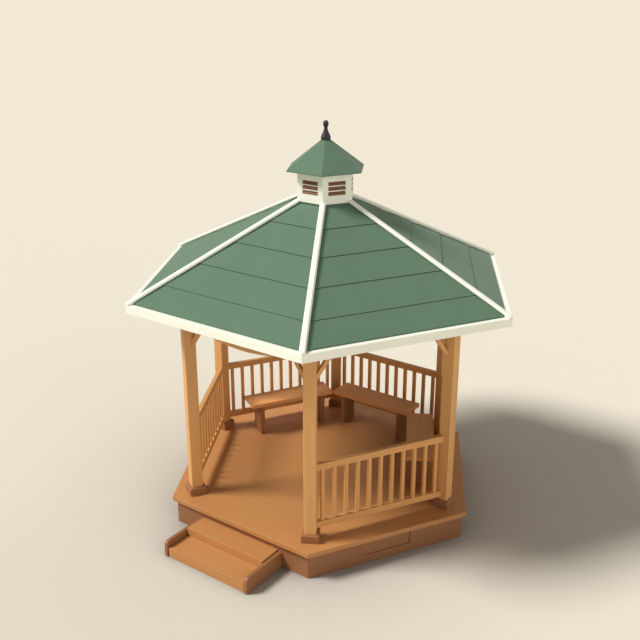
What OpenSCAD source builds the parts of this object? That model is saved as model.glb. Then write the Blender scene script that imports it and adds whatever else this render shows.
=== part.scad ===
// Six-sided timber gazebo: a boarded floor on a closed skirt, six posts, railings on five sides,
// three benches, two steps at the open side, a lapped roof with hip caps and a louvred cupola.
// Origin on the centre line at ground level, +Z up, the open side faces -Y. All sizes in mm.

/* [Floor] */
// Height of the floor above the ground
floor_height = 340; // [280:1:460]
// Width of the floor between two opposite flat edges
floor_across = 3344; // [3320:1:3420]
// Thickness of the floor
floor_t = 53; // [35:1:65]
// How far the floor's edge stands out past the skirt
nosing = 48; // [30:1:60]
// Thickness of the skirt boards
skirt_t = 32; // [20:1:45]
// Width of the floor joists
joist_w = 38; // [30:1:60]
// Depth of the floor joists
joist_h = 140; // [90:1:180]
// Radius of the twelve-sided hub that the joists meet at
hub_r = 150; // [120:1:200]
// Width of each square pier block under the frame
pier_w = 200; // [150:1:300]

/* [Hatch in the skirt] */
// Width of the hatch
hatch_w = 570; // [300:1:900]
// Height of the hatch's lower edge above the ground
hatch_sill = 97; // [40:1:150]
// How far the hatch is set back from the skirt's face
hatch_inset = 14; // [6:1:16]
// Radius of the hatch's two lower corners
hatch_round = 40; // [10:1:70]

/* [Posts] */
// Distance from the centre line to each post's centre
post_ring = 1645; // [1625:1:1665]
// Width of a post
post_w = 131; // [100:1:140]
// Chamfer along the post's edges
post_chamfer = 6; // [3:1:20]
// Width of the plinth round a post's foot
plinth_w = 190; // [170:1:205]
// Height of the plinth
plinth_h = 97; // [60:1:120]
// Bevel on the plinth's upper edge
plinth_bevel = 10; // [4:1:15]

/* [Railing] */
// Height of the top rail's upper face above the floor
rail_top = 892; // [800:1:1100]
// Gap between the floor and the bottom rail
rail_sill = 131; // [105:1:200]
// Height of each rail
rail_h = 72; // [50:1:90]
// Width of each rail, seen from above
rail_w = 52; // [44:1:70]
// Width of a square baluster
baluster_w = 37; // [25:1:42]
// Number of equal bays that the balusters divide a side into
baluster_bays = 12; // [8:1:16]

/* [Header and braces] */
// Height of the header beams
header_h = 208; // [140:1:240]
// Width of the header beams
header_w = 80; // [65:1:100]
// Depth that the rafters are notched over the header
birdsmouth = 15; // [8:1:25]
// Thickness of a knee brace
brace_w = 45; // [35:1:60]
// Height of a knee brace below the header
brace_rise = 494; // [350:1:600]
// Reach of a knee brace along the header
brace_run = 400; // [250:1:480]

/* [Entry board] */
// Clear height from the floor to the lowest point of the bowed board
entry_headroom = 1974; // [1880:1:2120]
// How much lower the board hangs at mid-span than at the posts
entry_bow = 170; // [80:1:220]
// Thickness of the bowed board
entry_board_t = 20; // [15:1:22]

/* [Roof] */
// Distance from the centre line to the eave's corners
eave_r = 2300; // [2150:1:2450]
// Height of the flat rim along the eave above the ground
eave_top = 2732; // [2640:1:2880]
// Slope of the roof faces in degrees
roof_pitch = 28.53; // [24:0.01:33]
// Height of the fascia boards, the rim included
fascia_h = 89; // [80:1:140]
// Thickness of the fascia boards
fascia_t = 28; // [18:1:36]
// Width of the flat rim, seen from above
rim_w = 62; // [44:1:80]
// Thickness of the rim
rim_t = 20; // [12:1:26]
// Height that the lowest course stands above the rim
rim_step = 16; // [8:1:24]
// Number of lapped courses on each roof face
courses = 5; // [3:1:8]
// How far the top course would run on behind the cupola wall
course_run_in = 45; // [20:1:90]
// Step in the surface where one course laps the next
course_lap = 8; // [5:1:14]
// Thickness of the roof, measured upright
roof_t = 28; // [22:1:36]
// Width of the rafters
rafter_w = 50; // [38:1:60]
// Depth of the rafters, measured upright
rafter_d = 58; // [50:1:66]
// Width of the hip caps
hip_cap_w = 66; // [54:1:80]
// Height of a hip cap above the hip, measured square to it
hip_cap_h = 34; // [31:1:42]
// Thickness of a hip cap
hip_cap_t = 27; // [20:1:30]
// Chamfer along a hip cap's upper edges
hip_cap_chamfer = 14; // [4:1:18]
// Width of the batten that carries a hip cap
hip_batten_w = 38; // [24:1:46]

/* [Cupola] */
// Distance from the centre line to the cupola's corners
cupola_r = 339; // [320:1:420]
// Thickness of the cupola walls
cupola_wall = 28; // [20:1:40]
// Height of the cupola walls above the roof
cupola_h = 342; // [310:1:400]
// Depth of the cupola walls below the roof, where the rafters meet them
curb_h = 190; // [160:1:240]
// Width of the louvres
louvre_w = 206; // [140:1:240]
// Number of louvre slots on each face
louvre_slots = 3; // [2:1:4]
// Height of a louvre slot
slot_h = 42; // [24:1:46]
// Height of the bar between two slots
slot_bar = 12; // [10:1:20]
// Distance from the roof up to the lowest slot
slot_sill = 104; // [60:1:110]
// Thickness of a louvre slat
slat_t = 12; // [8:1:16]
// Distance that a slat is set in from both faces of the wall
slat_inset = 3; // [2:1:6]
// Distance from the centre line to the corners of the cupola's roof
cap_r = 467; // [430:1:520]
// Thickness of the cupola roof's edge
cap_edge = 12; // [8:1:30]
// Slope of the cupola's roof in degrees
cap_pitch = 40.2; // [34:0.1:46]

/* [Finial] */
// Radius of the finial's base
finial_r = 53; // [44:1:60]
// Height of the straight part of the base
finial_base_h = 34; // [24:1:50]
// Height of the tapered part
finial_cone_h = 84; // [60:1:110]
// Radius of the neck
finial_neck_r = 19; // [10:1:24]
// Radius of the knob
finial_knob_r = 31; // [25:1:38]
// Height of the knob
finial_knob_h = 89; // [70:1:110]

/* [Benches] */
// Height of a seat above the floor
seat_height = 444; // [400:1:480]
// Depth of a seat from front to back
seat_depth = 327; // [280:1:360]
// Thickness of a seat
seat_t = 50; // [35:1:60]
// Gap between a seat and the railing
seat_gap = 85; // [40:1:110]
// Gap between the nearest corners of two seats
seat_corner_gap = 8; // [4:1:200]
// Thickness of a bench leg
leg_t = 56; // [35:1:70]
// Distance from a seat's front edge back to the leg
leg_front = 20; // [10:1:60]
// Distance from a seat's back edge in to the leg
leg_back = 70; // [30:1:110]
// Distance from a seat's end to the leg's outer face
leg_inset = 110; // [60:1:200]

/* [Steps] */
// Overall width of the steps
steps_w = 1166; // [1000:1:1300]
// Distance from the skirt to the front of the steps
steps_reach = 584; // [540:1:680]
// Thickness of the side boards
side_t = 40; // [30:1:60]
// Height of the side boards
side_h = 188; // [150:1:220]
// Radius that rounds the front of the side boards
side_round = 48; // [30:1:90]
// How far the lower step's front stands back from the side boards' ends
tread_set = 12; // [6:1:30]
// Height of the lower step above the ground
lower_step = 112; // [95:1:130]
// Height of the upper step above the ground
upper_step = 206; // [190:1:235]
// Depth of the upper step from front to back
upper_going = 272; // [240:1:310]
// Thickness of the treads
tread_t = 38; // [25:1:50]
// Thickness of the riser boards
riser_t = 28; // [18:1:40]
// Gap between a step and a side board
step_side_gap = 10; // [4:1:14]
// Width of the cleats that carry the lower tread
cleat_w = 40; // [30:1:60]

/* [Hidden] */
$fn = 64;

// Colours
POST = "#be8c55";
RAIL = "#b98450";
FLOOR = "#c2854e";
STAIN = "#8a5738";
BENCH = "#a5683c";
TRIM = "#f2ecdc";
ROOF = "#6f8e72";
IRON = "#3b3a3c";
TIMBER = "#b08a60";
STONE = "#9a9690";

// Directions in degrees: the middle of each side, and each corner
FRONT = -90;
FRONT_RIGHT = -30;
BACK_RIGHT = 30;
BACK = 90;
BACK_LEFT = 150;
FRONT_LEFT = 210;
SIDES = [FRONT, FRONT_RIGHT, BACK_RIGHT, BACK, BACK_LEFT, FRONT_LEFT];
CORNERS = [for (s = SIDES) s + 30];
BENCH_SIDES = [BACK_RIGHT, BACK, BACK_LEFT];

fit = 0.3;        // clearance between pieces that meet
past = 1;         // how far a cutter runs past the face it cuts
mitre = 0.5;      // half of the joint where two boards meet at a corner
far = 3000;       // longer than any side
FLAT = cos(30);   // from a corner's radius to the middle of a side

floor_half = floor_across / 2;
floor_under = floor_height - floor_t;
skirt_out = floor_half - nosing;
post_line = post_ring * FLAT;
post_side = post_ring / baluster_bays;

eave_half = eave_r * FLAT;
fascia_in = eave_half - fascia_t;
eave_under = eave_top - fascia_h;
rim_in = eave_half - rim_w;
cupola_half = cupola_r * FLAT;
cap_half = cap_r * FLAT;

// Height of the roof's surface at a distance from the centre line, at mid-side
function roof_z(out) = eave_top + rim_step + (rim_in - out) * tan(roof_pitch);

header_top = roof_z(post_line) - roof_t - rafter_d + birdsmouth;
header_under = header_top - header_h;
hip_pitch = atan(tan(roof_pitch) * FLAT);
hip_drop = rafter_w / 2 * tan(roof_pitch) * sin(30);

roof_meets_cupola = roof_z(cupola_half);
cupola_top = roof_meets_cupola + cupola_h;
finial_flat = finial_r * FLAT;
finial_seat = cupola_top + cap_edge + (cap_half - finial_flat) * tan(cap_pitch);

rail_in = post_line - rail_w / 2;
seat_out = rail_in - seat_gap;
seat_in = seat_out - seat_depth;
seat_len = 2 * seat_in * tan(30) - seat_corner_gap / FLAT;

step_front = skirt_out + steps_reach;
step_back = skirt_out + fit;
lower_front = step_front - tread_set;
upper_front = skirt_out + upper_going;
step_inner = steps_w / 2 - side_t;
step_half = step_inner - step_side_gap;

// ---- Shared shapes ----

// A piece on one side: local +X points out through the middle of that side
module at_side(angle) { rotate(angle) children(); }

// Hexagonal outline with its flats at the given distance from the centre line
module hexagon(half) { circle(r = half / FLAT, $fn = 6); }

module hex_prism(half, z0, z1) {
    translate([0, 0, z0]) linear_extrude(z1 - z0) hexagon(half);
}

// The wedge of one side, its two cut faces set in from the radial lines
module wedge(inset) {
    linear_extrude(2 * far)
        polygon([[2 * inset, 0], [far, far * tan(30) - inset / FLAT],
                 [far, -far * tan(30) + inset / FLAT]]);
}

// An outline in distance out and height, run along a side and mitred at its ends
module run_along(points, inset) {
    intersection() {
        rotate([90, 0, 0]) linear_extrude(2 * far, center = true) polygon(points);
        wedge(inset);
    }
}

// A board or beam along a side, given by two opposite corners of its section
module bar_along(out0, out1, z0, z1, inset) {
    run_along([[out0, z0], [out1, z0], [out1, z1], [out0, z1]], inset);
}

// A six-sided pyramid cut off flat, standing on an upright edge
module hex_pyramid(half, edge, pitch, top_half) {
    cylinder(r = half / FLAT, h = edge, $fn = 6);
    translate([0, 0, edge]) cylinder(r1 = half / FLAT, r2 = top_half / FLAT,
                                     h = (half - top_half) * tan(pitch), $fn = 6);
}

module chamfered_square(w, c) {
    a = w / 2;
    b = a - c;
    polygon([[a, -b], [a, b], [b, a], [-b, a], [-a, b], [-a, -b], [-b, -a], [b, -a]]);
}

// ---- Floor ----

module floor_deck() { color(FLOOR) hex_prism(floor_half, floor_under, floor_height); }

module floor_hub() {
    color(TIMBER) translate([0, 0, floor_under - joist_h])
        rotate(15) cylinder(r = hub_r, h = joist_h, $fn = 12);
}

// Six joists to the corners and six to the middle of the sides
module floor_joists() {
    hub_flat = hub_r * cos(15);
    color(TIMBER) intersection() {
        for (a = [0:30:330]) rotate(a)
            translate([hub_flat, -joist_w / 2, floor_under - joist_h])
                cube([floor_half, joist_w, joist_h]);
        hex_prism(skirt_out - skirt_t, 0, floor_height);
    }
}

// One block under the hub and one under each corner
module pier_blocks() {
    block_h = floor_under - joist_h;
    color(STONE) {
        translate([-pier_w / 2, -pier_w / 2, 0]) cube([pier_w, pier_w, block_h]);
        for (c = CORNERS) rotate(c) translate([post_ring - pier_w / 2, -pier_w / 2, 0])
            cube([pier_w, pier_w, block_h]);
    }
}

// The hatch's shape from its lower edge up to a height, its two lower corners rounded
module hatch_outline(top) {
    half = hatch_w / 2;
    translate([-half, hatch_round]) square([hatch_w, top - hatch_sill - hatch_round]);
    translate([hatch_round - half, 0])
        square([hatch_w - 2 * hatch_round, hatch_round + past]);
    for (x = [hatch_round - half, half - hatch_round])
        translate([x, hatch_round]) circle(hatch_round);
}

module skirt_boards() {
    color(STAIN) difference() {
        for (s = SIDES) at_side(s)
            bar_along(skirt_out - skirt_t, skirt_out, 0, floor_under, mitre);
        at_side(FRONT_RIGHT) translate([skirt_out - skirt_t - past, 0, hatch_sill])
            rotate([90, 0, 90]) linear_extrude(skirt_t + 2 * past)
                hatch_outline(floor_under + past);
    }
}

module skirt_hatch() {
    color(STAIN) at_side(FRONT_RIGHT) translate([skirt_out - skirt_t, 0, hatch_sill])
        rotate([90, 0, 90]) linear_extrude(skirt_t - hatch_inset)
            hatch_outline(floor_under);
}

// ---- Posts and railings ----

module post(corner) {
    color(POST) rotate(corner) translate([post_ring, 0, floor_height])
        linear_extrude(header_under - floor_height) chamfered_square(post_w, post_chamfer);
}

module post_front_left() { post(CORNERS[5]); }
module post_front_right() { post(CORNERS[0]); }
module post_right() { post(CORNERS[1]); }
module post_back_right() { post(CORNERS[2]); }
module post_back_left() { post(CORNERS[3]); }
module post_left() { post(CORNERS[4]); }

// A block with a bevelled upper edge: two sections, extruded crosswise, share this shape
module plinth_block() {
    a = plinth_w / 2;
    b = a - plinth_bevel;
    outline = [[-a, 0], [a, 0], [a, plinth_h - plinth_bevel], [b, plinth_h], [-b, plinth_h],
               [-a, plinth_h - plinth_bevel]];
    intersection_for (turn = [0, 90]) rotate([90, 0, turn])
        linear_extrude(plinth_w, center = true) polygon(outline);
}

module post_plinths() {
    color(STAIN) for (c = CORNERS) rotate(c) translate([post_ring, 0, floor_height])
        difference() {
            plinth_block();
            translate([0, 0, -past]) linear_extrude(plinth_h + 2 * past)
                chamfered_square(post_w + 2 * fit, post_chamfer);
        }
}

module railing(side) {
    low = floor_height + rail_sill;
    high = floor_height + rail_top;
    inner = post_line - rail_w / 2;
    outer = post_line + rail_w / 2;
    let_in = rail_h / 3;
    color(RAIL) at_side(side) union() {
        bar_along(inner, outer, low, low + rail_h, post_w / 2);
        bar_along(inner, outer, high - rail_h, high, post_w / 2);
        for (i = [1:baluster_bays - 1])
            translate([post_line - baluster_w / 2,
                       (i - baluster_bays / 2) * post_side - baluster_w / 2,
                       low + rail_h - let_in])
                cube([baluster_w, baluster_w, high - low - 2 * rail_h + 2 * let_in]);
    }
}

module rail_front_right() { railing(FRONT_RIGHT); }
module rail_back_right() { railing(BACK_RIGHT); }
module rail_back() { railing(BACK); }
module rail_back_left() { railing(BACK_LEFT); }
module rail_front_left() { railing(FRONT_LEFT); }

// ---- Header, braces and the bowed board over the entry ----

module header_beams() {
    color(TIMBER) for (s = SIDES) at_side(s)
        bar_along(post_line - header_w / 2, post_line + header_w / 2, header_under, header_top,
                  mitre);
}

// A slanting strut from a post's side face up to the header, cut to both
module brace() {
    face = post_ring / 2 - post_w / 2 / FLAT;
    slant = atan(brace_rise / brace_run);
    across = brace_w / sin(slant);
    foot = header_under - brace_rise;
    intersection() {
        translate([post_line - brace_w / 2, 0, 0]) rotate([90, 0, 90]) linear_extrude(brace_w)
            polygon([[face + across, foot - across * tan(slant)],
                     [face - brace_run + across, header_under],
                     [face - brace_run, header_under],
                     [face + across, foot - 2 * across * tan(slant)]]);
        wedge(post_w / 2);
    }
}

module knee_braces() {
    color(POST) for (s = SIDES) at_side(s) {
        brace();
        mirror([0, 1, 0]) brace();
    }
}

// Hangs below the header in front of the braces; its lower edge is an arc
module entry_board() {
    low = floor_height + entry_headroom;
    half = post_ring / 2;
    arc_r = (half * half + entry_bow * entry_bow) / (2 * entry_bow);
    out = post_line + brace_w / 2 + fit;
    color(POST) at_side(FRONT) intersection() {
        translate([out, 0, 0]) rotate([90, 0, 90]) linear_extrude(entry_board_t)
            difference() {
                translate([-half, low]) square([2 * half, header_under - low]);
                difference() {
                    translate([-half - past, low - past])
                        square([2 * (half + past), entry_bow + past]);
                    translate([0, low + arc_r]) circle(arc_r, $fn = 180);
                }
            }
        wedge(post_w / 2);
    }
}

// ---- Roof ----

// Upright section of a rafter: its top follows the roof's underside, lowered by drop
module rafter_outline(inner, outer, slope, drop) {
    z0 = roof_meets_cupola - roof_t - drop;
    z1 = z0 - (outer - inner) * tan(slope);
    polygon([[inner, z0], [outer, z1], [outer, z1 - rafter_d], [inner, z0 - rafter_d]]);
}

// Space taken by the header ring, with clearance at its sides
module header_space() {
    difference() {
        hex_prism(post_line + header_w / 2 + fit, 0, header_top);
        hex_prism(post_line - header_w / 2 - fit, -past, header_top + past);
    }
}

module rafter_set(inner, outer, slope, drop, directions) {
    color(TIMBER) difference() {
        intersection() {
            for (d = directions) rotate(d) rotate([90, 0, 0])
                linear_extrude(rafter_w, center = true)
                    rafter_outline(inner, outer, slope, drop);
            hex_prism(fascia_in - fit, 0, 2 * far);
        }
        hex_prism(cupola_half + fit, 0, 2 * far);
        header_space();
    }
}

module hip_rafters() { rafter_set(cupola_r, eave_r, hip_pitch, hip_drop, CORNERS); }
module common_rafters() { rafter_set(cupola_half, eave_half, roof_pitch, 0, SIDES); }

// Each course laps the one below it, which makes a row of steps up the slope; the lowest
// course runs on under the rim's line, so that what shows of it is narrower
module roof_panel(side) {
    low = rim_in - fit;
    top = cupola_half + fit;
    exposure = (eave_half - cupola_half + course_run_in) / courses;
    edges = [for (i = [0:courses - 1]) i == 0 ? low : eave_half - i * exposure];
    surface = [for (i = [0:courses - 1])
        let (next = i == courses - 1 ? top : edges[i + 1],
             dip = course_lap * (edges[i] - next) / exposure)
        each [[edges[i], roof_z(edges[i])], [next, roof_z(next) - dip]]];
    under = [[top, roof_z(top) - roof_t], [low, roof_z(low) - roof_t]];
    color(ROOF) at_side(side) run_along(concat(surface, under), mitre);
}

module roof_front() { roof_panel(FRONT); }
module roof_front_right() { roof_panel(FRONT_RIGHT); }
module roof_back_right() { roof_panel(BACK_RIGHT); }
module roof_back() { roof_panel(BACK); }
module roof_back_left() { roof_panel(BACK_LEFT); }
module roof_front_left() { roof_panel(FRONT_LEFT); }

// Upright boards, their upper edge widened inwards to a flat rim
module fascia_boards() {
    color(TRIM) for (s = SIDES) at_side(s)
        run_along([[fascia_in, eave_under], [eave_half, eave_under], [eave_half, eave_top],
                   [rim_in, eave_top], [rim_in, eave_top - rim_t],
                   [fascia_in, eave_top - rim_t]], mitre);
}

// Section of a hip cap and its batten, square to the hip; the roof cuts the batten's foot
module hip_cap_outline() {
    a = hip_cap_w / 2;
    b = a - hip_cap_chamfer;
    c = hip_batten_w / 2;
    under = hip_cap_h - hip_cap_t;
    polygon([[c, -roof_t], [c, under], [a, under], [a, hip_cap_h - hip_cap_chamfer],
             [b, hip_cap_h], [-b, hip_cap_h], [-a, hip_cap_h - hip_cap_chamfer], [-a, under],
             [-c, under], [-c, -roof_t]]);
}

module hip_caps() {
    spare = hip_cap_w;   // runs past both ends, where the eave and the cupola cut it
    length = (eave_r - cupola_r) / cos(hip_pitch);
    color(TRIM) difference() {
        intersection() {
            for (c = CORNERS) rotate(c) translate([eave_r, 0, roof_z(eave_half)])
                rotate([0, hip_pitch - 90, 0]) rotate(-90) translate([0, 0, -spare])
                    linear_extrude(length + 2 * spare) hip_cap_outline();
            hex_prism(eave_half, 0, 2 * far);
        }
        hex_pyramid(rim_in, roof_z(rim_in) + fit, roof_pitch, finial_r);
        hex_prism(eave_half + rim_w, 0, eave_top + fit);
        hex_prism(cupola_half + fit, 0, 2 * far);
    }
}

// ---- Cupola ----

function slot_low(i) = roof_meets_cupola + slot_sill + i * (slot_h + slot_bar);

module cupola_walls() {
    color(TRIM) difference() {
        hex_prism(cupola_half, roof_meets_cupola - curb_h, cupola_top);
        hex_prism(cupola_half - cupola_wall, 0, 2 * far);
        for (s = SIDES, i = [0:louvre_slots - 1]) at_side(s)
            translate([cupola_half - 2 * cupola_wall, -louvre_w / 2, slot_low(i)])
                cube([3 * cupola_wall, louvre_w, slot_h]);
    }
}

// One slat lies slanting in each slot, its outer edge low
module cupola_louvres() {
    outer = cupola_half - slat_inset;
    inner = cupola_half - cupola_wall + slat_inset;
    color(STAIN) for (s = SIDES, i = [0:louvre_slots - 1]) at_side(s)
        translate([0, 0, slot_low(i)]) rotate([90, 0, 0])
            linear_extrude(louvre_w - 2 * fit, center = true)
                polygon([[outer, 0], [outer, slat_t], [inner, slot_h], [inner, slot_h - slat_t]]);
}

module cupola_roof() {
    hollow = cupola_half - cupola_wall - fit;
    color(ROOF) translate([0, 0, cupola_top]) difference() {
        hex_pyramid(cap_half, cap_edge, cap_pitch, finial_flat);
        translate([0, 0, -past]) hex_pyramid(hollow, past, cap_pitch, finial_r);
    }
}

// Turned: a straight base, a taper that hollows towards the neck, and an egg-shaped knob
module finial() {
    steps = 10;
    hollow = 1.25;    // 1 for a straight taper, more for a deeper hollow
    low_share = 0.6;  // of the knob's height, below its widest level
    neck_z = finial_base_h + finial_cone_h;
    knob_z = neck_z + finial_knob_h * low_share;
    knob_rise = finial_knob_h * (1 - low_share);
    taper = [for (i = [0:steps]) let (t = i / steps)
        [finial_neck_r + (finial_r - finial_neck_r) * pow(1 - t, hollow),
         finial_base_h + t * finial_cone_h]];
    swell = [for (i = [1:steps]) let (t = i / steps)
        [finial_neck_r + (finial_knob_r - finial_neck_r) * (1 - cos(180 * t)) / 2,
         neck_z + t * (knob_z - neck_z)]];
    crown = [for (i = [1:steps]) let (turn = 90 * i / steps)
        [finial_knob_r * cos(turn), knob_z + knob_rise * sin(turn)]];
    color(IRON) translate([0, 0, finial_seat]) rotate_extrude()
        polygon(concat([[0, 0], [finial_r, 0]], taper, swell, crown));
}

// ---- Benches ----

module seat(side) {
    color(BENCH) at_side(side)
        translate([seat_in, -seat_len / 2, floor_height + seat_height - seat_t])
            cube([seat_depth, seat_len, seat_t]);
}

module seat_back_right() { seat(BACK_RIGHT); }
module seat_back() { seat(BACK); }
module seat_back_left() { seat(BACK_LEFT); }

module bench_legs() {
    color(STAIN) for (s = BENCH_SIDES, end = [-1, 1]) at_side(s)
        translate([seat_in + leg_front,
                   end * (seat_len / 2 - leg_inset - leg_t / 2) - leg_t / 2, floor_height])
            cube([seat_depth - leg_front - leg_back, leg_t, seat_height - seat_t]);
}

// ---- Steps ----

module side_outline() {
    difference() {
        translate([skirt_out + fit, 0]) square([steps_reach - fit, side_h]);
        translate([step_front - side_round, side_h - side_round]) difference() {
            square(side_round + past);
            circle(side_round);
        }
    }
}

// Two side boards, each with a cleat on its inner face for the lower tread
module step_sides() {
    cleat_top = lower_step - tread_t;
    cleat_back = skirt_out + riser_t;
    cleat_front = lower_front - riser_t - fit;
    color(STAIN) at_side(FRONT) for (end = [0, 1]) mirror([0, end, 0]) {
        translate([0, steps_w / 2, 0]) rotate([90, 0, 0]) linear_extrude(side_t) side_outline();
        translate([cleat_back, step_inner - cleat_w, cleat_top - cleat_w])
            cube([cleat_front - cleat_back, cleat_w + past, cleat_w]);
    }
}

module tread(front, top) {
    color(FLOOR) at_side(FRONT) translate([step_back, -step_half, top - tread_t])
        cube([front - step_back, 2 * step_half, tread_t]);
}

module lower_tread() { tread(lower_front, lower_step); }
module upper_tread() { tread(upper_front, upper_step); }

// The lower riser, and the upper riser with its two end boards
module step_risers() {
    upper_h = upper_step - tread_t - lower_step;
    color(FLOOR) at_side(FRONT) {
        translate([lower_front - riser_t, -step_half, 0])
            cube([riser_t, 2 * step_half, lower_step - tread_t]);
        translate([0, 0, lower_step]) difference() {
            translate([step_back, -step_half, 0])
                cube([upper_front - step_back, 2 * step_half, upper_h]);
            translate([0, riser_t - step_half, -past])
                cube([upper_front - riser_t, 2 * (step_half - riser_t), upper_h + 2 * past]);
        }
    }
}

floor_deck();
floor_hub();
floor_joists();
pier_blocks();
skirt_boards();
skirt_hatch();
post_front_left();
post_front_right();
post_right();
post_back_right();
post_back_left();
post_left();
post_plinths();
rail_front_right();
rail_back_right();
rail_back();
rail_back_left();
rail_front_left();
header_beams();
knee_braces();
entry_board();
hip_rafters();
common_rafters();
roof_front();
roof_front_right();
roof_back_right();
roof_back();
roof_back_left();
roof_front_left();
hip_caps();
fascia_boards();
cupola_walls();
cupola_louvres();
cupola_roof();
finial();
seat_back_right();
seat_back();
seat_back_left();
bench_legs();
step_sides();
lower_tread();
upper_tread();
step_risers();
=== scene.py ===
"""Looks for the timber gazebo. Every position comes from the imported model, in metres."""

import math
import random

import bmesh
import bpy
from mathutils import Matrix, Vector

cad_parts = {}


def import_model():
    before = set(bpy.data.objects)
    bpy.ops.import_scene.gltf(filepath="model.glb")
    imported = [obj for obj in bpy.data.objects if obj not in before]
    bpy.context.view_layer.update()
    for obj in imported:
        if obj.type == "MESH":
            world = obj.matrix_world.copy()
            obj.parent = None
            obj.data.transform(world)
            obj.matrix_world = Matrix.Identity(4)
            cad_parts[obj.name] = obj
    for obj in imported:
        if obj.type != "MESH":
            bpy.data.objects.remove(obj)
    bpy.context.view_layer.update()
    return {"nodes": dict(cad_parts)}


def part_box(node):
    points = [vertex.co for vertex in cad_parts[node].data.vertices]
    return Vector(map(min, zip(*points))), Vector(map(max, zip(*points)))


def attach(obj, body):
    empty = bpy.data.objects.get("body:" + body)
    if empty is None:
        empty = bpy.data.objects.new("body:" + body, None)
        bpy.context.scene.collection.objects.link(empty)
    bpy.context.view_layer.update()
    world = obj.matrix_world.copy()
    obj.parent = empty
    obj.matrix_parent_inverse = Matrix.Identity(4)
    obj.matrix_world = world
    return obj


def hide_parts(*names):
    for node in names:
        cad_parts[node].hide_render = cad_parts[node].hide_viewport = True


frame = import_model()

SEED = 7


def linear(red, green, blue):
    """A colour of three values from 0 to 255, as the shader's sockets take it."""
    def one(value):
        value /= 255
        return value / 12.92 if value <= 0.04045 else ((value + 0.055) / 1.055) ** 2.4
    return (one(red), one(green), one(blue), 1.0)


# ---- Material building blocks ----

class Tree:
    """A new material's node tree, with short ways to add to it."""

    def __init__(self, name):
        self.material = bpy.data.materials.new(name)
        self.material.use_nodes = True
        self.nodes = self.material.node_tree.nodes
        self.links = self.material.node_tree.links
        self.nodes.clear()
        self.output = self.add("ShaderNodeOutputMaterial")
        self.shader = self.add("ShaderNodeBsdfPrincipled")
        self.link(self.shader.outputs[0], self.output.inputs["Surface"])

    def add(self, kind, **settings):
        node = self.nodes.new(kind)
        for key, value in settings.items():
            setattr(node, key, value)
        return node

    def link(self, a, b):
        self.links.new(a, b)

    def attribute(self, name):
        return self.add("ShaderNodeAttribute", attribute_name=name)

    def noise(self, vector, scale, detail=3.0, roughness=0.5, distortion=0.0):
        node = self.add("ShaderNodeTexNoise")
        node.inputs["Scale"].default_value = scale
        node.inputs["Detail"].default_value = detail
        node.inputs["Roughness"].default_value = roughness
        node.inputs["Distortion"].default_value = distortion
        self.link(vector, node.inputs["Vector"])
        return node.outputs["Fac"]

    def stretched(self, vector, x, y, z):
        """The vector times a factor for each axis: a small factor draws the figure out."""
        node = self.add("ShaderNodeVectorMath", operation="MULTIPLY")
        self.link(vector, node.inputs[0])
        node.inputs[1].default_value = (x, y, z)
        return node.outputs[0]

    def fit(self, value, from_low, from_high, to_low, to_high):
        """The value carried from one range to another, and held within it."""
        node = self.add("ShaderNodeMapRange")
        self.link(value, node.inputs["Value"])
        for key, number in (("From Min", from_low), ("From Max", from_high),
                            ("To Min", to_low), ("To Max", to_high)):
            node.inputs[key].default_value = number
        return node.outputs["Result"]

    def maths(self, operation, a, b):
        node = self.add("ShaderNodeMath", operation=operation)
        for socket, value in zip(node.inputs, (a, b)):
            if isinstance(value, (int, float)):
                socket.default_value = value
            else:
                self.link(value, socket)
        return node.outputs[0]

    def mix(self, factor, a, b, blend="MIX"):
        node = self.add("ShaderNodeMix", data_type="RGBA", blend_type=blend)
        for socket, value in ((node.inputs[0], factor), (node.inputs[6], a), (node.inputs[7], b)):
            if isinstance(value, (int, float, tuple)):
                socket.default_value = value
            else:
                self.link(value, socket)
        return node.outputs[2]

    def tinted(self, colour, amount):
        """The colour times a grey level."""
        grey = self.add("ShaderNodeCombineColor")
        for socket in grey.inputs[:3]:
            self.link(amount, socket)
        return self.mix(1.0, colour, grey.outputs[0], "MULTIPLY")

    def bump(self, height, strength, distance):
        node = self.add("ShaderNodeBump")
        node.inputs["Strength"].default_value = strength
        node.inputs["Distance"].default_value = distance
        self.link(height, node.inputs["Height"])
        self.link(node.outputs[0], self.shader.inputs["Normal"])


def shade(colour, factor):
    """The colour, darker below a factor of 1 and lighter above it."""
    return tuple(c * factor for c in colour[:3]) + (1.0,)


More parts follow.
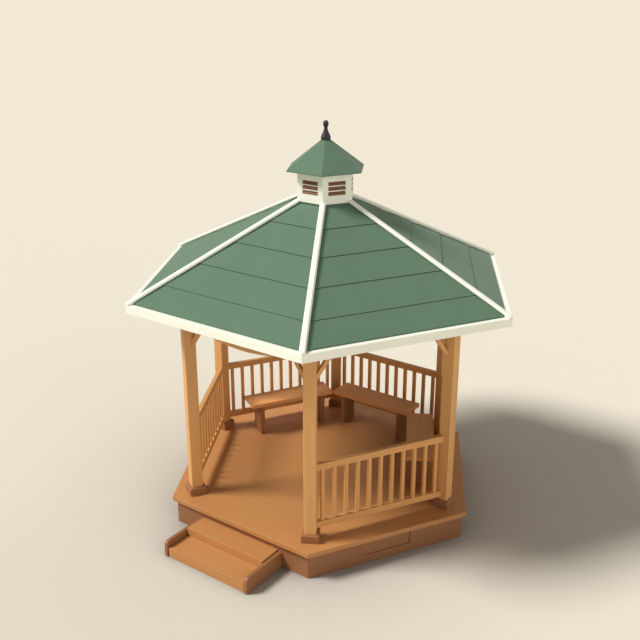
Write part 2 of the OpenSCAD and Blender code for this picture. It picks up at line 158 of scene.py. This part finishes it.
def wood(name, colour, contrast, rough=0.55, board_width=0.0):
    """Stained timber: long figure, fine fibres, a tone for each solid, and rounded edges
    lightened for wear and as a painted highlight.

    With a board width, fine joints run along the grain at that spacing.
    """
    t = Tree(name)
    grain = t.attribute("grain").outputs["Vector"]
    tone = t.attribute("tone").outputs["Fac"]
    wear_and_highlight = t.attribute("wear_and_highlight").outputs["Fac"]
    bands = t.noise(t.stretched(grain, 0.7, 13, 13), 1.0, 4.0, 0.55, 0.5)
    fibres = t.noise(t.stretched(grain, 9, 240, 240), 1.0, 2.0, 0.6)
    cloud = t.noise(t.stretched(grain, 0.8, 1.6, 1.6), 1.0, 2.0)
    level = t.fit(bands, 0.3, 0.7, 0.0, 1.0)
    base = t.mix(level, shade(colour, 1 - 0.09 * contrast), shade(colour, 1 + 0.08 * contrast))
    fine = t.fit(fibres, 0.25, 0.75, 1 - 0.06 * contrast, 1 + 0.05 * contrast)
    broad = t.fit(cloud, 0.3, 0.7, 1 - 0.03, 1 + 0.03)
    board = t.fit(tone, 0.0, 1.0, 0.975, 1.025)
    amount = t.maths("MULTIPLY", t.maths("MULTIPLY", fine, broad), board)
    height = t.maths("ADD", t.maths("MULTIPLY", bands, 0.35), fibres)
    if board_width:
        across = t.add("ShaderNodeSeparateXYZ")
        t.link(grain, across.inputs[0])
        place = t.maths("PINGPONG", across.outputs["Y"], board_width / 2)
        joint = t.fit(place, 0.0008, 0.0022, 1.0, 0.0)
        amount = t.maths("MULTIPLY", amount, t.fit(joint, 0.0, 1.0, 1.0, 0.88))
        height = t.maths("SUBTRACT", height, t.maths("MULTIPLY", joint, 2.0))
    # rounded edges lightened in patches: partly wear, partly a painted highlight
    worn_and_lit = t.maths("MULTIPLY", wear_and_highlight, t.fit(t.noise(grain, 14.0, 3.0), 0.35, 0.65, 0.15, 0.5))
    t.link(t.mix(worn_and_lit, t.tinted(base, amount), shade(colour, 1.2)), t.shader.inputs["Base Color"])
    t.link(t.fit(fibres, 0.2, 0.8, rough - 0.07, rough + 0.09), t.shader.inputs["Roughness"])
    t.bump(height, 0.2, 0.001)
    return t.material


def paint(name, colour, painted_shadow_colour, rough=0.5):
    """Painted board: faint brush marks along the grain, chalky edges lightened also as a painted
    highlight, and painted shadow in the gaps.
    """
    t = Tree(name)
    grain = t.attribute("grain").outputs["Vector"]
    brush = t.noise(t.stretched(grain, 4, 150, 150), 1.0, 2.0)
    cloud = t.noise(grain, 3.0, 3.0)
    base = t.mix(t.fit(cloud, 0.3, 0.7, 0.0, 1.0), shade(colour, 0.97), colour)
    toned = t.mix(t.fit(brush, 0.3, 0.7, 0.0, 0.05), base, shade(colour, 0.7))
    # rounded edges lighter: wear, and a painted highlight
    edged = t.mix(t.maths("MULTIPLY", t.attribute("wear_and_highlight").outputs["Fac"], 0.5), toned,
                  shade(colour, 1.04))
    # painted shadow beside the hip caps' battens and at the cupola's foot
    t.link(t.mix(t.attribute("painted_shadow").outputs["Fac"], edged, painted_shadow_colour),
           t.shader.inputs["Base Color"])
    t.link(t.fit(cloud, 0.2, 0.8, rough - 0.06, rough + 0.08), t.shader.inputs["Roughness"])
    t.bump(brush, 0.1, 0.0008)
    return t.material


def shingle(name, colour):
    """Granule-faced roofing: fine granules, a faint mottle and a painted shadow line under each
    lap.
    """
    t = Tree(name)
    grain = t.attribute("grain").outputs["Vector"]
    granules = t.noise(grain, 420.0, 2.0, 0.7)
    mottle = t.noise(grain, 4.0, 4.0, 0.6)
    base = t.mix(t.fit(mottle, 0.3, 0.7, 0.0, 1.0), shade(colour, 0.975), shade(colour, 1.025))
    speckled = t.tinted(base, t.fit(granules, 0.3, 0.7, 0.9, 1.1))
    # rounded edges lighter: wear, and a painted highlight
    edged = t.mix(t.maths("MULTIPLY", t.attribute("wear_and_highlight").outputs["Fac"], 0.25), speckled,
                  shade(colour, 1.2))
    # the masked lap risers take a dark painted shadow
    t.link(t.mix(t.attribute("painted_shadow").outputs["Fac"], edged, shade(colour, 0.3)),
           t.shader.inputs["Base Color"])
    t.link(t.fit(granules, 0.2, 0.8, 0.7, 0.9), t.shader.inputs["Roughness"])
    t.shader.inputs["Specular IOR Level"].default_value = 0.25
    t.shader.inputs["Sheen Weight"].default_value = 0.12
    t.shader.inputs["Sheen Roughness"].default_value = 0.5
    t.bump(granules, 0.22, 0.0012)
    return t.material


def iron(name, colour):
    """Cast finial under a satin black coat."""
    t = Tree(name)
    grain = t.attribute("grain").outputs["Vector"]
    pits = t.noise(grain, 160.0, 3.0, 0.6)
    cloud = t.noise(grain, 18.0, 3.0)
    t.link(t.mix(t.fit(cloud, 0.3, 0.7, 0.0, 1.0), shade(colour, 0.85), shade(colour, 1.25)),
           t.shader.inputs["Base Color"])
    t.link(t.fit(pits, 0.3, 0.7, 0.38, 0.55), t.shader.inputs["Roughness"])
    t.shader.inputs["Metallic"].default_value = 0.35
    t.bump(pits, 0.15, 0.001)
    return t.material


def stone(name, colour):
    """Cast concrete with a coarse grit."""
    t = Tree(name)
    grain = t.attribute("grain").outputs["Vector"]
    grit = t.noise(grain, 90.0, 5.0, 0.65)
    t.link(t.mix(t.fit(grit, 0.3, 0.7, 0.0, 1.0), shade(colour, 0.8), shade(colour, 1.1)),
           t.shader.inputs["Base Color"])
    t.link(t.fit(grit, 0.3, 0.7, 0.75, 0.95), t.shader.inputs["Roughness"])
    t.bump(grit, 0.4, 0.004)
    return t.material


ROOF_GREEN = linear(94, 122, 98)
DECK_BOARD = 0.14

# One look for each slot, and "deck" for the boarded floor in the slot "floor"
LOOKS = {
    "deck": wood("deck_stain", linear(192, 132, 75), 0.3, board_width=DECK_BOARD),
    "floor": wood("floor_stain", linear(192, 132, 75), 0.5),
    "timber": wood("framing_timber", linear(186, 148, 104), 0.8),
    "stone": stone("pier_stone", linear(154, 150, 144)),
    "stain": wood("dark_stain", linear(152, 101, 62), 0.6),
    "post": wood("post_stain", linear(219, 162, 98), 0.6),
    "rail": wood("rail_stain", linear(215, 155, 90), 0.6),
    # the third colour is the painted shadow beside the battens and at the cupola's foot
    "trim": paint("cream_paint", linear(253, 252, 236), shade(ROOF_GREEN, 0.5)),
    "roof": shingle("green_roofing", ROOF_GREEN),
    "louvre": wood("louvre_stain", linear(124, 80, 46), 0.7),
    "iron": iron("black_iron", linear(36, 38, 41)),
    "bench": wood("bench_stain", linear(228, 160, 97), 0.6),
    "bench_leg": wood("bench_leg_stain", linear(151, 102, 61), 0.6),
}

# The slot of each node, by the start of the node's name
SLOTS = {
    "floor_deck": "floor", "floor_hub": "timber", "floor_joists": "timber",
    "pier_blocks": "stone", "skirt": "stain", "post_plinths": "stain", "post": "post",
    "rail": "rail", "header_beams": "timber", "knee_braces": "post", "entry_board": "post",
    "hip_rafters": "timber", "common_rafters": "timber", "roof": "roof", "hip_caps": "trim",
    "fascia_boards": "trim", "cupola_walls": "trim", "cupola_louvres": "louvre",
    "cupola_roof": "roof", "finial": "iron", "seat": "bench", "bench_legs": "bench_leg",
    "step_sides": "stain", "lower_tread": "floor", "upper_tread": "floor",
    "step_risers": "floor",
}


def slot_of(node):
    """The slot under the longest key that the node's name starts with."""
    return SLOTS[max((key for key in SLOTS if node.startswith(key)), key=len)]


# ---- Dressing: each CAD node's mesh, cleaned, with small rounded edges and grain ----

EDGE_ROUND = 0.003          # rounding of a timber edge
ROOF_EDGE_ROUND = 0.001     # rounding of a roof panel's edge, kept fine to hold the lap lines
ROUNDED_OVER = 25           # edges that fold by more degrees than this are rounded
FLAT_WITHIN = 0.6           # faces that fold by fewer degrees than this become one
SAME_POINT = 1e-5           # points closer than this become one
GRAIN_SPREAD = 40           # how far apart in the wood figure the solids are taken
LAP_FACE = 0.012            # a roof face narrower than this is the riser under a lap
BATTEN_FACE = 0.010         # a hip cap's face narrower than this is beside its batten
UPRIGHT = 0.5               # a face whose normal rises less than this is upright
CROSS_PIECE = 0.15          # a face longer than this across the grain may turn its grain

EAVE_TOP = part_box("roof_front")[0][2] + 0.1         # just above the roof's lowest edge
CUPOLA_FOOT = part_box("roof_front")[1][2] + 0.02     # upper end of the shadow at its foot
WAYS = {"floor_deck": Vector((1, 0, 0))}            # grain that isn't the longest edge's


def islands(mesh):
    """The faces of each separate solid."""
    left, found = set(mesh.faces), []
    while left:
        start = left.pop()
        group, queue = [start], [start]
        while queue:
            for edge in queue.pop().edges:
                for near in edge.link_faces:
                    if near in left:
                        left.remove(near)
                        group.append(near)
                        queue.append(near)
        found.append(group)
    return found


def longest(edges):
    """The direction of the longest edge."""
    best = max(edges, key=lambda e: round(e.calc_length(), 5))
    way = (best.verts[1].co - best.verts[0].co).normalized()
    return -way if (way.x, way.y, way.z) < (0, 0, 0) else way


def grain_frame(way, normal):
    """Three axes: along the grain, across it in the face, and square to the face."""
    across = normal.cross(way)
    if across.length < 0.2:
        across = way.orthogonal()
    across.normalize()
    return way, across, way.cross(across)


def width(face):
    """How wide a long face is."""
    return face.calc_area() / max(e.calc_length() for e in face.edges)


def in_painted_shadow(node, face):
    """Whether the face is in shadow: under a lap, beside a batten or at the cupola's foot."""
    if node.startswith("roof_"):
        return (abs(face.normal.z) < UPRIGHT and width(face) < LAP_FACE
                and face.calc_center_median().z > EAVE_TOP)
    if node == "hip_caps":
        return width(face) < BATTEN_FACE
    if node == "cupola_walls":
        return abs(face.normal.z) < UPRIGHT and face.calc_center_median().z < CUPOLA_FOOT
    return False


def reach(points, way):
    """How far the points spread in that direction."""
    places = [p.dot(way) for p in points]
    return max(places) - min(places)


def dress(node, bevel=EDGE_ROUND, smooth=False):
    """A piece that stands for one CAD node: its mesh with rounded edges, grain, a painted shadow
    mask and a mask of the rounded edges, which are painted lighter for wear and as a highlight.
    """
    mesh = bmesh.new()
    mesh.from_mesh(frame["nodes"][node].data)
    bmesh.ops.remove_doubles(mesh, verts=mesh.verts, dist=SAME_POINT)
    bmesh.ops.dissolve_limit(mesh, angle_limit=math.radians(FLAT_WITHIN), verts=mesh.verts,
                             edges=mesh.edges)
    if node == "cupola_walls":
        bmesh.ops.bisect_plane(mesh, geom=mesh.verts[:] + mesh.edges[:] + mesh.faces[:],
                               plane_co=(0, 0, CUPOLA_FOOT), plane_no=(0, 0, 1))
    mesh.edges.index_update()   # so that equal edges keep one order from run to run
    draw = random.Random(f"{SEED}{node}")
    grain = mesh.loops.layers.float_vector.new("grain")
    tone = mesh.loops.layers.float.new("tone")
    wear_and_highlight = mesh.loops.layers.float.new("wear_and_highlight")
    painted_shadow = mesh.loops.layers.float.new("painted_shadow")
    number = mesh.faces.layers.int.new("solid")
    solids = []   # for each solid its grain's direction, its tone and its place in the figure
    for group in sorted(islands(mesh), key=lambda g: min(f.index for f in g)):
        edges = sorted({e for f in group for e in f.edges}, key=lambda e: e.index)
        solids.append((WAYS.get(node) or longest(edges), draw.random(),
                       Vector([draw.uniform(0, GRAIN_SPREAD) for _ in range(3)])))
        for face in group:
            face[number] = len(solids)
            # faces under a lap, beside a batten or at the cupola's foot get painted shadow
            dark = float(in_painted_shadow(node, face))
            for loop in face.loops:
                loop[painted_shadow] = dark
    if bevel:
        before = set(mesh.faces)
        sharp = [e for e in mesh.edges if e.is_manifold
                 and e.calc_face_angle() > math.radians(ROUNDED_OVER)]
        made = bmesh.ops.bevel(mesh, geom=sharp, offset=bevel, segments=2, affect="EDGES",
                               profile=0.5, clamp_overlap=True, harden_normals=False)
        # the faces that round the edges are marked, to be painted lighter for wear and as a
        # painted highlight
        for face in made["faces"]:
            if face not in before:
                for loop in face.loops:
                    loop[wear_and_highlight] = 1.0
    for face in mesh.faces:
        way, own_tone, shift = solids[max(face[number], 1) - 1]
        own = longest(face.edges)
        corners = [v.co for v in face.verts]
        across = reach(corners, own)
        if (across > 3 * reach(corners, way) and across > CROSS_PIECE
                and abs(own.dot(way)) < 0.5):
            way = own
        axes = grain_frame(way, face.normal)
        for loop in face.loops:
            loop[grain] = Vector([loop.vert.co.dot(a) for a in axes]) + shift
            loop[tone] = own_tone
    data = bpy.data.meshes.new(node + "_dressed")
    mesh.to_mesh(data)
    mesh.free()
    piece = bpy.data.objects.new(node + "_finish", data)
    bpy.context.scene.collection.objects.link(piece)
    slot = slot_of(node)
    data.materials.append(LOOKS["deck" if node == "floor_deck" else slot])
    data.polygons.foreach_set("use_smooth", [smooth] * len(data.polygons))
    if smooth:
        data.set_sharp_from_angle(angle=math.radians(35))
    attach(piece, "root")
    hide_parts(node)


for name in frame["nodes"]:
    if name == "finial":
        dress(name, bevel=0, smooth=True)
    elif name.startswith("roof_"):
        dress(name, bevel=ROOF_EDGE_ROUND)
    else:
        dress(name)


# ---- Stage, light and camera ----

FLOOR_TONE = linear(237, 228, 209)
FLOOR_HALF = 400.0                      # half the side of the floor
PAINTED_SHADE_CENTRE = (-0.2, -3.0, 0.0)         # centre of the painted soft shadow on the floor, before the steps
PAINTED_SHADE_RADIUS = 3.7
PAINTED_SHADE_DEPTH = 0.86
CONTACT_SHADOW_REACH = 2.2                     # how far from the building the painted contact shadow reaches
CONTACT_POWER = 0.8                     # how strongly it does
# the colour that the painted contact shadow darkens towards
CONTACT_SHADOW_TONE = (0.0, 0.03, 0.08, 1.0)
BACKDROP_TONE = linear(242, 232, 213)
AMBIENT = 0.19


def stage():
    """A pale floor with painted shade: a soft painted shadow, deepest before the steps, and a
    painted contact shadow by the building.
    """
    h = FLOOR_HALF
    mesh = bpy.data.meshes.new("ground")
    mesh.from_pydata([(-h, -h, 0), (h, -h, 0), (h, h, 0), (-h, h, 0)], [], [(0, 1, 2, 3)])
    floor = bpy.data.objects.new("ground", mesh)
    bpy.context.scene.collection.objects.link(floor)
    t = Tree("ground_paper")
    place = t.add("ShaderNodeTexCoord")
    away = t.add("ShaderNodeVectorMath", operation="DISTANCE")
    t.link(place.outputs["Object"], away.inputs[0])
    away.inputs[1].default_value = PAINTED_SHADE_CENTRE
    # a painted soft shadow on the floor, deepest before the steps
    spread = t.maths("POWER", t.maths("MULTIPLY", away.outputs["Value"], 1 / PAINTED_SHADE_RADIUS), 2.0)
    near = t.maths("EXPONENT", t.maths("MULTIPLY", spread, -1.0), 0.0)
    shaded_paper = t.mix(near, FLOOR_TONE, shade(FLOOR_TONE, PAINTED_SHADE_DEPTH))
    # painted contact shadow: the floor's colour darker where the building hides its surroundings
    around = t.add("ShaderNodeAmbientOcclusion", samples=8)
    around.inputs["Distance"].default_value = CONTACT_SHADOW_REACH
    clear = t.maths("POWER", around.outputs["AO"], CONTACT_POWER)
    t.link(t.mix(clear, CONTACT_SHADOW_TONE, shaded_paper), t.shader.inputs["Base Color"])
    t.shader.inputs["Roughness"].default_value = 1.0
    t.shader.inputs["Specular IOR Level"].default_value = 0.0
    mesh.materials.append(t.material)


def world():
    """Even light all round, with the backdrop's tone for what the camera or a gloss sees."""
    made = bpy.data.worlds.new("studio")
    bpy.context.scene.world = made
    made.use_nodes = True
    nodes, links = made.node_tree.nodes, made.node_tree.links
    nodes.clear()
    output = nodes.new("ShaderNodeOutputWorld")
    seen, ambient = nodes.new("ShaderNodeBackground"), nodes.new("ShaderNodeBackground")
    seen.inputs["Color"].default_value = BACKDROP_TONE
    ambient.inputs["Color"].default_value = (1.0, 1.0, 1.0, 1.0)
    ambient.inputs["Strength"].default_value = AMBIENT
    path = nodes.new("ShaderNodeLightPath")
    either, both = nodes.new("ShaderNodeMath"), nodes.new("ShaderNodeMath")
    either.operation = both.operation = "MAXIMUM"
    links.new(path.outputs["Is Camera Ray"], either.inputs[0])
    links.new(path.outputs["Is Glossy Ray"], either.inputs[1])
    links.new(either.outputs[0], both.inputs[0])
    links.new(path.outputs["Is Transmission Ray"], both.inputs[1])
    mix = nodes.new("ShaderNodeMixShader")
    links.new(both.outputs[0], mix.inputs[0])
    links.new(ambient.outputs[0], mix.inputs[1])
    links.new(seen.outputs[0], mix.inputs[2])
    links.new(mix.outputs[0], output.inputs["Surface"])


def direction(azimuth, elevation):
    """The unit vector towards an azimuth, counted from +X towards +Y, and an elevation."""
    a, e = math.radians(azimuth), math.radians(elevation)
    return Vector((math.cos(a) * math.cos(e), math.sin(a) * math.cos(e), math.sin(e)))


def sun(name, strength, azimuth, elevation, softness):
    """A lamp that shines from that azimuth and elevation, with angles in degrees."""
    data = bpy.data.lights.new(name, "SUN")
    data.energy = strength
    data.angle = math.radians(softness)
    lamp = bpy.data.objects.new(name, data)
    bpy.context.scene.collection.objects.link(lamp)
    lamp.rotation_mode = "QUATERNION"
    lamp.rotation_quaternion = direction(azimuth, elevation).to_track_quat("Z", "Y")


def camera():
    """The camera before the front corner on the right, above the eaves and looking down."""
    data = bpy.data.cameras.new("view")
    data.sensor_width = 36.0
    data.lens = 50.73
    data.clip_end = 2000.0
    made = bpy.data.objects.new("view", data)
    bpy.context.scene.collection.objects.link(made)
    made.location = (5.6623, -8.0043, 5.8892)
    made.rotation_mode = "QUATERNION"
    made.rotation_quaternion = direction(125.642, -20.558).to_track_quat("-Z", "Y")
    bpy.context.scene.camera = made


stage()
world()
sun("key", 3.37, 221.5, 46.9, 18.0)
sun("side", 0.83, -10.0, 15.0, 50.0)
camera()
bpy.context.scene.view_settings.view_transform = "Standard"
